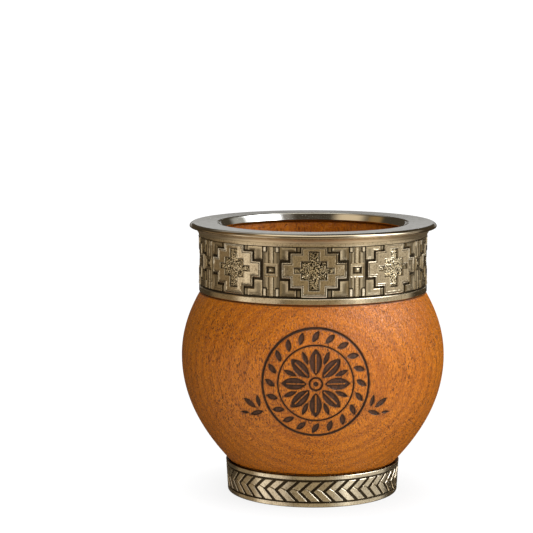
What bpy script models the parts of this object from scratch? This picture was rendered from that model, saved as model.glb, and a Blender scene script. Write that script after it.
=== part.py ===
"""A turned wooden mate cup with a metal rim, an embossed collar and a chevron foot ring.

Metres, +Z up. The origin is the centre of the underside, and the cup's axis is Z.
Four pieces: the wooden body, the flat rim ring on its mouth, the collar round its neck
and the ring that it stands on. Dimensions are written in millimetres and scaled by MM.
"""
import math

import bmesh
import bpy

MM = 0.001

# Overall sizes of the cup
CUP_HEIGHT = 96.35
GAP = 0.3                      # clearance kept between neighbouring pieces

# Wooden body
BELLY_RADIUS = 46.73
BELLY_HEIGHT = 49.0
BODY_FOOT_RADIUS = 30.03       # where the wood meets the foot ring
BODY_FOOT_HEIGHT = 11.8
BODY_NECK_RADIUS = 40.05       # where the wood meets the collar
BODY_NECK_HEIGHT = 71.73
LOWER_ROUNDNESS = 2.07         # exponent of the curve from the belly down to the foot
UPPER_ROUNDNESS = 2.0          # exponent of the curve from the belly up to the neck
NECK_RADIUS = 38.7             # hidden under the collar
MOUTH_RADIUS = 34.0
CAVITY_BELLY_RADIUS = 38.6
CAVITY_NECK_HEIGHT = 79.0
CAVITY_FLOOR_HEIGHT = 11.5
CAVITY_ROUNDNESS = 2.2
BODY_SEGMENTS = 60

# Rim ring
RIM_INNER_RADIUS = 33.53
RIM_THROAT_RADIUS = 32.4       # the inner wall narrows downwards to this
RIM_FLAT_RADIUS = 42.97        # where the flat top ends
RIM_LIP_RADIUS = 43.75
RIM_SKIRT_RADIUS = 41.6        # where the rolled lip ends, over the collar
RIM_DEPTH = 3.0
RIM_INNER_ROUND = 0.6
RIM_LIP_STRAIGHT = 0.55        # upright stretch between the lip's two roundings
RIM_SEGMENTS = 60

# Collar
COLLAR_RADIUS = 40.47
COLLAR_INNER_RADIUS = 39.0
COLLAR_BOTTOM = 72.03
COLLAR_BORDER_HEIGHT = 2.0
COLLAR_FLARE_RADIUS = 41.3
COLLAR_FLARE_HEIGHT = 1.15
RELIEF_DEPTH = 0.5
MOTIF_COUNT = 8
MOTIF_CENTRE = 83.1
# Half width and half height of each step of a raised plate
PLATE_STEPS = ((4.3, 8.45), (7.95, 5.85), (11.0, 2.6))
FRONT = -math.pi / 2           # the side of the cup that faces the viewer
CROWDING = 0.05                # the motifs sit closer at the front than at the back by this share
STEP_WALL = 0.1                # how far a step's side leans

# Foot ring
FOOT_HEIGHT = 11.5
FOOT_TOP_RADIUS = 31.02
FOOT_TAPER = 0.058             # loss of radius for each millimetre down
FOOT_INNER_RADIUS = 29.5
FOOT_FLANGE_RADIUS = 26.5      # inner edge of the flange that it stands on
FOOT_FLANGE_THICKNESS = 1.0
FOOT_EDGE_ROUND = 0.6
FOOT_LOWER_BORDER = 1.55
FOOT_UPPER_BORDER = 9.75
CHEVRON_COUNT = 45
CHEVRON_GROOVE_WIDTH = 0.75
CHEVRON_GROOVE_DEPTH = 0.35
CHEVRON_UPPER_LEAN = 4.8       # how far a groove leans to the side over the upper half
CHEVRON_LOWER_LEAN = 4.1


def spread(start, end, steps):
    """Evenly spaced values from start to end, both included."""
    return [start + (end - start) * i / steps for i in range(steps + 1)]


def metal(name, colour, roughness):
    return finish(name, colour, roughness, 1.0)


def finish(name, colour, roughness, metallic):
    material = bpy.data.materials.new(name)
    material.use_nodes = True
    shader = material.node_tree.nodes["Principled BSDF"]
    shader.inputs["Base Color"].default_value = (*colour, 1.0)
    shader.inputs["Roughness"].default_value = roughness
    shader.inputs["Metallic"].default_value = metallic
    return material


def add_object(name, mesh_data, material):
    """Close the mesh, turn its faces outward and put it in the scene."""
    bmesh.ops.recalc_face_normals(mesh_data, faces=mesh_data.faces)
    mesh = bpy.data.meshes.new(name)
    mesh_data.to_mesh(mesh)
    mesh_data.free()
    mesh.shade_smooth()
    mesh.set_sharp_from_angle(angle=math.radians(35))
    mesh.materials.append(material)
    piece = bpy.data.objects.new(name, mesh)
    bpy.context.scene.collection.objects.link(piece)
    return piece


def turned(name, outline, segments, material):
    """Spin an outline of (radius, height) pairs round the Z axis into a closed solid."""
    mesh_data = bmesh.new()
    points = [mesh_data.verts.new((radius * MM, 0.0, height * MM)) for radius, height in outline]
    on_axis = outline[0][0] == 0.0
    edges = [mesh_data.edges.new(pair) for pair in zip(points, points[1:])]
    if not on_axis:
        edges.append(mesh_data.edges.new((points[-1], points[0])))
    bmesh.ops.spin(
        mesh_data,
        geom=points + edges,
        cent=(0.0, 0.0, 0.0),
        axis=(0.0, 0.0, 1.0),
        angle=math.tau,
        steps=segments,
        use_merge=True,
    )
    bmesh.ops.remove_doubles(mesh_data, verts=mesh_data.verts, dist=1e-6)
    return add_object(name, mesh_data, material)


def carved_ring(name, rows, angles, material):
    """Join closed loops of points, one for each angle, into a ring.

    Each row is a function that takes an angle and gives a (turn, radius, height) there,
    so that a row may lean to the side as well as in and out.
    """
    mesh_data = bmesh.new()
    columns = []
    for angle in angles:
        column = []
        for row in rows:
            turn, radius, height = row(angle)
            place = (radius * math.cos(turn) * MM, radius * math.sin(turn) * MM, height * MM)
            column.append(mesh_data.verts.new(place))
        columns.append(column)
    for here, there in zip(columns, columns[1:] + columns[:1]):
        for i in range(len(rows)):
            j = (i + 1) % len(rows)
            mesh_data.faces.new((here[i], there[i], there[j], here[j]))
    return add_object(name, mesh_data, material)


def body_radius(height):
    """Radius of the wooden body's outside between the foot ring and the collar."""
    if height < BELLY_HEIGHT:
        share = (BELLY_HEIGHT - height) / (BELLY_HEIGHT - BODY_FOOT_HEIGHT)
        return BELLY_RADIUS - (BELLY_RADIUS - BODY_FOOT_RADIUS) * share ** LOWER_ROUNDNESS
    share = (height - BELLY_HEIGHT) / (BODY_NECK_HEIGHT - BELLY_HEIGHT)
    return BELLY_RADIUS - (BELLY_RADIUS - BODY_NECK_RADIUS) * share ** UPPER_ROUNDNESS


def body_outside():
    heights = spread(BODY_FOOT_HEIGHT, BODY_NECK_HEIGHT, 12)
    return [(body_radius(height), height) for height in heights]


def body_cavity():
    """The hollow's outline, from the mouth down to the axis."""
    half_height = BELLY_HEIGHT - CAVITY_FLOOR_HEIGHT
    outline = [(MOUTH_RADIUS, CUP_HEIGHT - RIM_DEPTH - GAP), (MOUTH_RADIUS, CAVITY_NECK_HEIGHT)]
    for share in spread(1.0, 0.0, 3)[1:-1]:
        height = BELLY_HEIGHT + share * (CAVITY_NECK_HEIGHT - BELLY_HEIGHT)
        swell = 0.5 + 0.5 * math.cos(share * math.pi)
        outline.append((MOUTH_RADIUS + (CAVITY_BELLY_RADIUS - MOUTH_RADIUS) * swell, height))
    for turn in spread(0.0, 90.0, 6)[:-1]:
        across = math.cos(math.radians(turn)) ** (2.0 / CAVITY_ROUNDNESS)
        down = math.sin(math.radians(turn)) ** (2.0 / CAVITY_ROUNDNESS)
        outline.append((CAVITY_BELLY_RADIUS * across, BELLY_HEIGHT - half_height * down))
    outline.append((0.0, CAVITY_FLOOR_HEIGHT))
    return outline


def make_body():
    plug_radius = FOOT_INNER_RADIUS - GAP
    plug_bottom = FOOT_FLANGE_THICKNESS + GAP
    outline = [(0.0, plug_bottom), (plug_radius, plug_bottom), (plug_radius, BODY_FOOT_HEIGHT)]
    outline += body_outside()
    outline += [(NECK_RADIUS, BODY_NECK_HEIGHT), (NECK_RADIUS, CUP_HEIGHT - RIM_DEPTH - GAP)]
    outline += body_cavity()
    return turned("wood_body", outline, BODY_SEGMENTS, finish("wood", (0.37, 0.12, 0.015), 0.4, 0.0))


def make_rim():
    top = CUP_HEIGHT
    bottom = CUP_HEIGHT - RIM_DEPTH
    upper_round = RIM_LIP_RADIUS - RIM_FLAT_RADIUS
    straight_end = top - upper_round - RIM_LIP_STRAIGHT
    outline = [
        (RIM_THROAT_RADIUS, bottom),
        (RIM_INNER_RADIUS, top - RIM_INNER_ROUND),
        (RIM_INNER_RADIUS + RIM_INNER_ROUND, top),
    ]
    for turn in spread(90.0, 0.0, 2):
        across = RIM_FLAT_RADIUS + upper_round * math.cos(math.radians(turn))
        outline.append((across, top - upper_round + upper_round * math.sin(math.radians(turn))))
    for turn in spread(0.0, 90.0, 3):
        across = RIM_SKIRT_RADIUS + (RIM_LIP_RADIUS - RIM_SKIRT_RADIUS) * math.cos(math.radians(turn))
        down = (straight_end - bottom) * math.sin(math.radians(turn))
        outline.append((across, straight_end - down))
    return turned("rim_ring", outline, RIM_SEGMENTS, metal("rim_metal", (0.45, 0.42, 0.37), 0.18))


def on_plate(across, up):
    """Whether a point, measured from a motif's centre, lies on its raised stepped plate."""
    return any(abs(across) < width and abs(up) < height for width, height in PLATE_STEPS)


def crowded(angle):
    """Where an evenly spaced angle round the collar comes to lie."""
    return angle - CROWDING * math.sin(angle - FRONT)


def collar_radius(angle, height):
    """Radius of the collar's relief: the stepped plates stand out from a sunken ground."""
    pitch = math.tau / MOTIF_COUNT
    from_centre = (angle + pitch / 2) % pitch - pitch / 2
    across = from_centre * COLLAR_RADIUS * (1.0 - CROWDING)
    raised = on_plate(across, height - MOTIF_CENTRE)
    return COLLAR_RADIUS if raised else COLLAR_RADIUS - RELIEF_DEPTH


def step_edges(sizes):
    """Both sides of each step's slightly leaning wall, from the lowest to the highest."""
    edges = []
    for size in sizes:
        for lean in (-STEP_WALL / 2, STEP_WALL / 2):
            edges += [size + lean, -size - lean]
    return sorted(edges)


def make_collar():
    top = CUP_HEIGHT - RIM_DEPTH - GAP
    border_top = COLLAR_BOTTOM + COLLAR_BORDER_HEIGHT
    flare_start = top - COLLAR_FLARE_HEIGHT
    flare_width = COLLAR_FLARE_RADIUS - COLLAR_RADIUS
    ground_radius = COLLAR_RADIUS - RELIEF_DEPTH

    def ring(radius, height):
        return lambda angle: (crowded(angle), radius, height)

    def relief(height):
        return lambda angle: (crowded(angle), collar_radius(angle, height), height)

    rows = [
        ring(COLLAR_INNER_RADIUS, COLLAR_BOTTOM),
        ring(COLLAR_RADIUS, COLLAR_BOTTOM),
        ring(COLLAR_RADIUS, border_top),
        ring(ground_radius, border_top + STEP_WALL),
    ]
    rows += [relief(MOTIF_CENTRE + up) for up in step_edges([height for _, height in PLATE_STEPS])]
    rows += [
        ring(ground_radius, flare_start - STEP_WALL),
        ring(COLLAR_RADIUS, flare_start),
        ring(COLLAR_RADIUS + flare_width * 0.4, flare_start + COLLAR_FLARE_HEIGHT * 0.55),
        ring(COLLAR_FLARE_RADIUS, top),
        ring(COLLAR_INNER_RADIUS, top),
    ]
    turn_scale = COLLAR_RADIUS * (1.0 - CROWDING)
    columns = [edge / turn_scale for edge in step_edges([width for width, _ in PLATE_STEPS])]
    angles = []
    for motif in range(MOTIF_COUNT):
        centre = motif * math.tau / MOTIF_COUNT
        angles += [centre + column for column in columns]
    return carved_ring("collar_band", rows, angles, metal("collar_metal", (0.36, 0.29, 0.19), 0.32))


def foot_radius(height):
    return FOOT_TOP_RADIUS - FOOT_TAPER * (FOOT_HEIGHT - height)


def make_foot():
    """The foot ring: a wall with chevron grooves cut in it and a flange to stand on."""
    pitch = math.tau / CHEVRON_COUNT
    groove_half = CHEVRON_GROOVE_WIDTH / 2 / FOOT_TOP_RADIUS
    middle = (FOOT_LOWER_BORDER + FOOT_UPPER_BORDER) / 2

    def ring(radius, height):
        return lambda angle: (angle, radius, height)

    def grooved(height, lean):
        def row(angle):
            from_groove = (angle + pitch / 2) % pitch - pitch / 2
            depth = CHEVRON_GROOVE_DEPTH if abs(from_groove) < groove_half / 2 else 0.0
            return angle + lean / FOOT_TOP_RADIUS, foot_radius(height) - depth, height
        return row

    rows = [
        ring(FOOT_FLANGE_RADIUS, 0.0),
        ring(foot_radius(0.0) - FOOT_EDGE_ROUND, 0.0),
        ring(foot_radius(FOOT_EDGE_ROUND), FOOT_EDGE_ROUND),
        ring(foot_radius(FOOT_LOWER_BORDER), FOOT_LOWER_BORDER),
        grooved(FOOT_LOWER_BORDER + STEP_WALL, CHEVRON_LOWER_LEAN),
        grooved(middle, 0.0),
        grooved(FOOT_UPPER_BORDER - STEP_WALL, CHEVRON_UPPER_LEAN),
        ring(foot_radius(FOOT_UPPER_BORDER), FOOT_UPPER_BORDER),
        ring(FOOT_TOP_RADIUS, FOOT_HEIGHT),
        ring(FOOT_INNER_RADIUS, FOOT_HEIGHT),
        ring(FOOT_INNER_RADIUS, FOOT_FLANGE_THICKNESS),
        ring(FOOT_FLANGE_RADIUS, FOOT_FLANGE_THICKNESS),
    ]
    angles = []
    for chevron in range(CHEVRON_COUNT):
        centre = chevron * pitch
        angles += [centre - groove_half, centre, centre + groove_half]
    return carved_ring("foot_ring", rows, angles, metal("foot_metal", (0.36, 0.3, 0.2), 0.3))


def main():
    for old in list(bpy.data.objects):
        bpy.data.objects.remove(old, do_unlink=True)
    make_body()
    make_rim()
    make_collar()
    make_foot()


main()
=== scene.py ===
"""The looks of a wooden mate cup with a metal rim, an embossed collar and a chevron foot ring.

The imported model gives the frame: metres, +Z up, the cup's axis on Z and its front towards -Y.
Each node is replaced by a finer mesh of the same form. Lengths below are in millimetres.
"""
import math

import bpy
import numpy as np
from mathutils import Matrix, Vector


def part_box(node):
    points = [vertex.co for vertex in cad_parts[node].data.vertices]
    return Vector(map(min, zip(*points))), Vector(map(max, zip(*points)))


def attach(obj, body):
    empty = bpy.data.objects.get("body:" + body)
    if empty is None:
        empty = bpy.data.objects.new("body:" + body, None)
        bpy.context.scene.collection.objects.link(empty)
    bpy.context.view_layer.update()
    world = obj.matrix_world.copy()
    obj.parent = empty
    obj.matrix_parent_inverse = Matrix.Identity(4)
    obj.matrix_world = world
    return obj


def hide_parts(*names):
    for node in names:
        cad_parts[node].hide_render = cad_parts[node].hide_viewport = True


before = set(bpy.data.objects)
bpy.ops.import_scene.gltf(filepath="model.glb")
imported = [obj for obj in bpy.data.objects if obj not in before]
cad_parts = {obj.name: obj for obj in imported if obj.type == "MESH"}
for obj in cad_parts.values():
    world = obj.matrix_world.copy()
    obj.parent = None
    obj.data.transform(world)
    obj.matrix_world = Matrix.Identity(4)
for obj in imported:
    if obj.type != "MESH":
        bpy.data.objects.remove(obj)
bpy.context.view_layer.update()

MM = 0.001

FRONT = -math.pi / 2           # the angle round the axis that faces the camera

WOOD_LOW, WOOD_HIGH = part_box("wood_body")
RIM_LOW, RIM_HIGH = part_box("rim_ring")
COLLAR_LOW, COLLAR_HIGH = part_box("collar_band")
_, FOOT_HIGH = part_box("foot_ring")

# Wooden body
BELLY_RADIUS = 46.73
BELLY_HEIGHT = 49.0
BODY_FOOT_RADIUS = 29.9
BODY_FOOT_HEIGHT = 11.5
BODY_NECK_RADIUS = 40.05
BODY_NECK_HEIGHT = 71.73
LOWER_ROUNDNESS = 2.07
UPPER_ROUNDNESS = 2.0
NECK_RADIUS = 38.7
MOUTH_RADIUS = 34.0
MOUTH_EDGE = 0.8
CAVITY_BELLY_RADIUS = 38.6
CAVITY_NECK_HEIGHT = 79.0
CAVITY_FLOOR_HEIGHT = 11.5
CAVITY_ROUNDNESS = 2.2
PLUG_RADIUS = 29.2
PLUG_ROUND = 0.5
UNDERSIDE_START = 6.0          # radius of the innermost row under the wood
BODY_STEP = math.radians(1.5)
SEAM_SHADE_HEIGHT = 0.5             # height of the painted shade in the seam against the metal
SEAM_SHADE_CORE = 0.15               # its darkest part, right beside the metal
NECK_SEAM_SHADE_HEIGHT = 0.45
NECK_SEAM_SHADE_SHARE = 0.7          # how dark the painted shade of the upper seam is beside the lower one
# Rows of the wood's outside: across a seam's painted shade, under the ornament and above it
SEAM_ROWS = 3
LOWER_ROWS = 14
UPPER_ROWS = 6
# The tree's axis lies behind the cup. This is its place times minus one, in metres
RING_AXIS = (0.006, -0.115, 0.0)
RING_SCALE = 105.0             # about 3 mm from ring to ring

# Ornament engraved on the front of the wood
ORNAMENT_HEIGHT = 46.4
ORNAMENT_RADIUS = 19.2
ORNAMENT_HALF_WIDTH = 27.5
ORNAMENT_STEP = 0.27           # grid spacing there
# The leaves beside the rosette: place across, height, lean and half length
SPRIG = (
    (20.6, -11.0, 1.9, 2.6),
    (23.2, -7.6, 1.0, 2.9),
    (19.9, -6.6, 0.25, 2.3),
    (25.0, -11.2, 1.55, 1.6),
)
SPRIG_WIDTH = 0.34             # half width of its leaves for each half length
# Circles round the rosette, as (radius, half width of the line)
ORNAMENT_CIRCLES = ((18.4, 0.44), (12.9, 0.3), (2.15, 0.34))
ORNAMENT_EYE = 0.85
# Leaves, as (how many, distance of the middle, half length, half width)
PETALS = (8, 7.4, 4.4, 2.1)
SMALL_PETALS = (8, 9.4, 2.5, 0.85)
WREATH = (20, 15.7, 2.15, 1.0)
WREATH_LEAN = 0.55
# The vein of a petal, as (half width, distance of its middle, half length)
PETAL_VEIN = (0.2, 6.9, 3.1)
ENGRAVING_DEPTH = 0.42
ENGRAVING_SLOPE = 0.3          # width of the engraving's leaning sides
# Distances from the engraving's edge, below 0 inside it
BURN_LIMITS = (-0.12, 0.1)     # where the char is full and where it ends
BURN_EDGE = -0.15              # the darkest line, just inside the engraving
BURN_EDGE_WIDTH = 0.28
SCORCH_REACH = 0.35            # how far the wood round it is browned
SCORCH_END = 3.0

# Rim ring
RIM_INNER_RADIUS = 33.53
RIM_THROAT_RADIUS = 32.4
RIM_LIP_RADIUS = 43.75
RIM_INNER_ROUND = 0.6
RIM_FUNNEL_GAP = 0.05          # how far the funnel ends inside the mouth's round
RIM_FUNNEL_START = 0.5         # height of its lower end over the ring's bottom
RIM_DISH = 0.1                 # how far the flat top sinks towards the mouth
RIM_DISH_START = 0.9           # distance of the dish's lowest row from the mouth
RIM_DISH_END = (0.15, 0.003)   # its last row, as distance before the nose and depth
# From the flat top over the lip's chamfer, as (distance inside the lip's radius, depth)
RIM_NOSE = (
    (1.1, 0.0),
    (0.93, 0.06),
    (0.62, 0.23),
    (0.4, 0.4),
    (0.22, 0.59),
    (0.08, 0.77),
    (0.01, 0.93),
    (0.0, 1.08),
)
RIM_ROLL = 0.45                # radius of the roll under the lip
RIM_ROLL_DEPTH = 1.15          # how far its middle is below the flat top
RIM_THROAT_ROUND = 0.4
ROUND_SEGMENTS = 288

# Collar
COLLAR_RADIUS = 40.47
COLLAR_INNER_RADIUS = 39.0
COLLAR_EDGE = 0.25             # bevel of the lower edge
COLLAR_EDGE_END = 0.4          # height of the first row over that bevel
# The hollow flare between the relief and the rim's lip, as (radius, height)
COLLAR_FLARE = ((40.5, 92.24), (40.53, 92.45), (40.6, 92.65), (40.7, 92.85), (40.84, 93.05))
RIM_FLARE = ((42.6, 94.68), (42.2, 94.56), (41.8, 94.33), (41.44, 94.0), (41.12, 93.55), (40.87, 93.09))
MOTIF_COUNT = 8
MOTIF_CENTRE = 83.72
CROWDING = 0.06                # motifs sit closer at the front than at the back by this share
COLLAR_TURN = math.radians(-0.7)  # the front motif sits a little to the left
# Half width and half height of each step
PLATE_STEPS = ((4.3, 8.45), (7.95, 5.85), (11.0, 2.6))
CROSS_STEPS = ((1.87, 6.7), (4.47, 3.18), (6.93, 1.01))
GRAIN_STEP = 0.42              # spacing of the points on the rough floor of a cross
# Half the way between two motifs at the front
HALF_PITCH = COLLAR_RADIUS * (1.0 - CROWDING) * math.pi / MOTIF_COUNT
ZONE_HALF_HEIGHT = 8.6
ZONE_BOTTOM = 74.05            # where the plain border under the relief ends
# The border's upper edge and the groove over it, as (depth, distance from the border's end)
BORDER_EDGE = (0.12, 0.16)
BORDER_GROOVE = (0.5, 0.12)
ZONE_TOP_GAP = 0.1             # from the relief's last row to the plain flare
GROUND_LEVEL = -0.6
CROSS_LEVEL = -0.45
# The relief is a little shorter above its centre than below it. From this height on, it is
# stretched so that what is drawn up to its reach ends at the reach above or below
STRETCH_START = 5.85
DRAWN_REACH = 8.45
UPPER_REACH = 7.85
LOWER_REACH = 9.0
# Corner pieces and small nubs, as distances from the motif's centre
CORNER_EDGES = (6.1, 8.8, 11.8)
CORNER_HEIGHTS = (3.5, 6.55, 8.4)
NUB_EDGES = (4.75, 5.95)
# The stud between two motifs, as half width and half height
STUD_FRAME = (2.55, 2.4)
STUD_HOLE = (1.55, 1.15)
STUD_SIZE = (1.15, 0.9)
STUD_LEVEL = -0.5              # of the stud's foot
STUD_RISE = 0.58
# Strips between the motifs, as distances from the line between two motifs
STRIP_FIELD = 2.95
STRIP_EDGE = 0.7
SIDE_STRIP = (0.98, 2.1)
STRIP_END = 6.5
BLOCK_EDGES = (1.75, 2.75)
BLOCK_HEIGHTS = (6.25, 8.4)
# Sections of the relief, as levels against the distance inside an outline
PLATE_INSETS = (-0.09, 0.02, 0.12, 0.24, 0.32, 0.54, 0.62, 0.76, 0.88)
PLATE_LEVELS = (GROUND_LEVEL, 0.04, 0.14, 0.1, -0.34, -0.34, 0.07, 0.06, 0.0)
PLATE_SECTION = (PLATE_INSETS, PLATE_LEVELS)
CROSS_SECTION = ((-0.2, -0.02, 0.12), (0.0, 0.06, CROSS_LEVEL))
FIELD_SECTION = ((-0.1, 0.1), (GROUND_LEVEL, -0.36))
CORNER_SECTION = ((-0.07, 0.07, 0.3, 1.2), (GROUND_LEVEL, -0.04, -0.1, -0.32))
NUB_SECTION = ((-0.07, 0.07), (GROUND_LEVEL, -0.3))
STRIP_SECTION = ((-0.1, 0.12, 0.3), (-0.45, -0.02, -0.08))
SIDE_SECTION = ((-0.1, 0.12), (-0.4, -0.2))
BLOCK_SECTION = ((-0.1, 0.12), (GROUND_LEVEL, 0.08))
FRAME_SECTION = ((-0.06, 0.1, 0.34, 0.5), (GROUND_LEVEL, 0.04, -0.1, -0.16))
HOLE_SECTION = ((-0.22, -0.08, 0.06), (-0.16, 0.08, -0.5))
GRAIN_INSET = 0.48             # where the rough floor of a cross starts
GRAIN_HEIGHT = 0.24
UNEVENNESS = 0.012             # how far the relief's points stray
FULL_SHADE_DEPTH = 0.5            # depth of the relief where its painted shade is darkest
# Raised edges, worn and given a painted highlight, start to shine at the first level and shine fully
# this much higher
COLLAR_WEAR_HIGHLIGHT_LEVEL = 0.02
COLLAR_WEAR_HIGHLIGHT_RISE = 0.08
# painted highlight and wear on the upper edge of the plain border
BORDER_WEAR_HIGHLIGHT = 0.8

# Foot ring
FOOT_TOP_RADIUS = 31.02
FOOT_TAPER = 0.058
FOOT_INNER_RADIUS = 29.5
FOOT_FLANGE_RADIUS = 26.5
FOOT_FLANGE_THICKNESS = 1.0
FOOT_FLANGE_EDGE = 0.2         # bevel of the flange's inner edge
FOOT_SOLE_RADIUS = 29.0        # where the flat underside ends
FOOT_EDGE_ROUND = 0.6
FOOT_BAND_HEIGHT = 10.4        # a plain row between the grooves and the upper edge
FOOT_LEDGE = 0.4               # from the outside to the ledge beside the wood
FOOT_LOWER_BORDER = 1.55
FOOT_UPPER_BORDER = 9.9
CHEVRON_COUNT = 45
CHEVRON_APEX = 5.65
CHEVRON_UPPER_LEAN = 4.8
CHEVRON_LOWER_LEAN = 4.1
FOOT_TURN = math.radians(-1.6)
# A groove between two chevrons, as distances from its middle
GROOVE_FLOOR_HALF = 0.64
GROOVE_HALF = 0.74
BEVEL_HALF = 0.88
BEVEL_END = 1.02
GROOVE_LEVELS = (-0.42, -0.08, 0.0)  # at the floor's edge, the wall's end and the bevel's end
# The grooves along the borders, as distances from a border: where the floor starts and ends,
# the wall ends and the bevel ends
LOWER_GROOVE = (0.08, 0.52, 0.62, 0.8)
UPPER_GROOVE = (0.08, 0.6, 0.7, 0.88)
BORDER_GROOVE_LEVEL = -0.35
BLOCK_END = 2.0                # distance of the blocks' last row from the upper border
HIGHLIGHT_MARGIN = 0.7              # no painted highlight on an edge this close to a border
HIGHLIGHT_LEVEL = -0.09             # nor anything that lies deeper
# How bright the painted highlights on the edges are above the joint and below it
UPPER_HIGHLIGHT = 0.15
LOWER_HIGHLIGHT = 0.55
# Painted shade in a sunken place starts at this depth and is full this much deeper
SHADE_START_DEPTH = 0.1
SHADE_DEPTH_REACH = 0.22
# painted shade on the ledge beside the wood
LEDGE_SHADE = 0.8
# The fine joint between a chevron's two halves
JOINT_START = 0.2              # height of its lower end over the chevrons' points
JOINT_RISE = 0.9
JOINT_WIDTH = 0.36
JOINT_LEVEL = -0.12
JOINT_FALL = 0.24              # how much deeper it gets towards its far end
FOOT_TOP_EDGE = 0.22           # radius of the ring's upper edge
FOOT_TOP_DROP = 0.3            # how far the ring's edge ends under the node's box

# Antique metals, as (colour, roughness)
COLLAR_METAL = ((0.7, 0.59, 0.42), 0.17)
FOOT_METAL = ((0.84, 0.75, 0.59), 0.2)

# Camera, in millimetres and degrees
FOCAL_LENGTH = 133.0
SENSOR_WIDTH = 36.0
CAMERA_PLACE = (-16.48, -695.05, 166.6)
CAMERA_PITCH = 7.08

# Studio
BACKDROP_GLOW = 1.05           # what the camera sees behind the cup, just over white
FLOOR_HALF_WIDTH = 3.0         # in metres
FLOOR_SHADE = 0.1
FLOOR_GLOW = 0.98
CONTACT_SHADE = 0.24           # how dark the floor gets right beside the foot
CONTACT_REACH = 0.024          # in metres
# Suns that no metal mirrors: azimuth from +X, elevation and breadth in degrees, and strength
SUNS = (
    ("sun_front", -85.0, 25.0, 40.0, 1.9),
    ("sun_left", -150.0, 0.0, 40.0, 0.5),
    ("sun_right", -15.0, 24.0, 50.0, 2.2),
    ("sun_back", 100.0, 35.0, 50.0, 1.2),
)
# What the metal and the wood's sheen mirror: azimuth, elevation, half width, half height,
# softness in degrees, and colour
PANELS = (
    (-9.0, 42.0, 20.0, 18.0, 24.0, (7.5, 7.7, 7.8)),
    (-24.0, 46.0, 12.0, 8.0, 16.0, (3.0, 3.0, 3.1)),
    (-36.0, 28.0, 14.0, 8.0, 20.0, (2.4, 2.45, 2.5)),
    (-90.0, 76.0, 120.0, 13.0, 8.0, (1.5, 1.45, 1.25)),
    (-16.0, 15.0, 20.0, 7.0, 12.0, (1.1, 1.1, 1.1)),
    (28.0, 27.0, 13.0, 8.0, 12.0, (0.42, 0.42, 0.39)),
    (-66.0, 38.0, 20.0, 10.0, 16.0, (0.1, 0.09, 0.07)),
    (-152.0, 48.0, 22.0, 12.0, 22.0, (0.85, 0.66, 0.42)),
    (-48.0, 52.0, 7.0, 8.0, 20.0, (0.3, 0.28, 0.25)),
    (168.0, 37.0, 10.0, 8.0, 10.0, (0.3, 0.17, 0.05)),
    (114.0, 53.0, 25.0, 14.0, 16.0, (0.4, 0.38, 0.34)),
    (-88.0, -14.0, 30.0, 20.0, 20.0, (0.31, 0.255, 0.165)),
    (-148.0, -14.0, 24.0, 20.0, 14.0, (0.7, 0.63, 0.54)),
    (-13.0, -14.0, 36.0, 20.0, 14.0, (0.6, 0.57, 0.5)),
    (-48.0, -12.0, 13.0, 18.0, 20.0, (0.65, 0.64, 0.6)),
    (-162.0, -12.0, 6.0, 16.0, 12.0, (0.35, 0.36, 0.34)),
    (170.0, -14.0, 22.0, 20.0, 14.0, (0.2, 0.15, 0.09)),
    (-90.0, -50.0, 110.0, 18.0, 16.0, (0.42, 0.37, 0.29)),
    (-168.0, -50.0, 24.0, 20.0, 14.0, (0.44, 0.4, 0.33)),
    (-12.0, -50.0, 26.0, 20.0, 14.0, (0.53, 0.5, 0.43)),
    (90.0, 5.3, 24.0, 1.5, 2.4, (0.56, 0.57, 0.57)),
)
MIRROR_DARK = (0.07, 0.055, 0.036)
# What lights the wood besides the suns
FILLS = (
    (-75.0, -32.0, 78.0, 25.0, 40.0, (0.95, 0.88, 0.78)),
)
FILL_DARK = (0.1, 0.095, 0.09)


def smooth_step(low, high, value):
    """0 below low, 1 above high and a smooth rise between them."""
    share = np.clip((value - low) / (high - low), 0.0, 1.0)
    return share * share * (3.0 - 2.0 * share)


def spread(start, end, steps):
    """Evenly spaced values from start to end, both included."""
    return list(np.linspace(start, end, steps + 1))


def spread_points(start, end, steps):
    """Evenly spaced points of a straight line, both ends included."""
    return list(zip(spread(start[0], end[0], steps), spread(start[1], end[1], steps)))


def arc(centre, radii, start, end, steps):
    """Points of an ellipse's arc as (radius, height) pairs, angles in degrees."""
    turns = np.radians(np.linspace(start, end, steps + 1))
    return [(centre[0] + radii[0] * math.cos(t), centre[1] + radii[1] * math.sin(t)) for t in turns]


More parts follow.
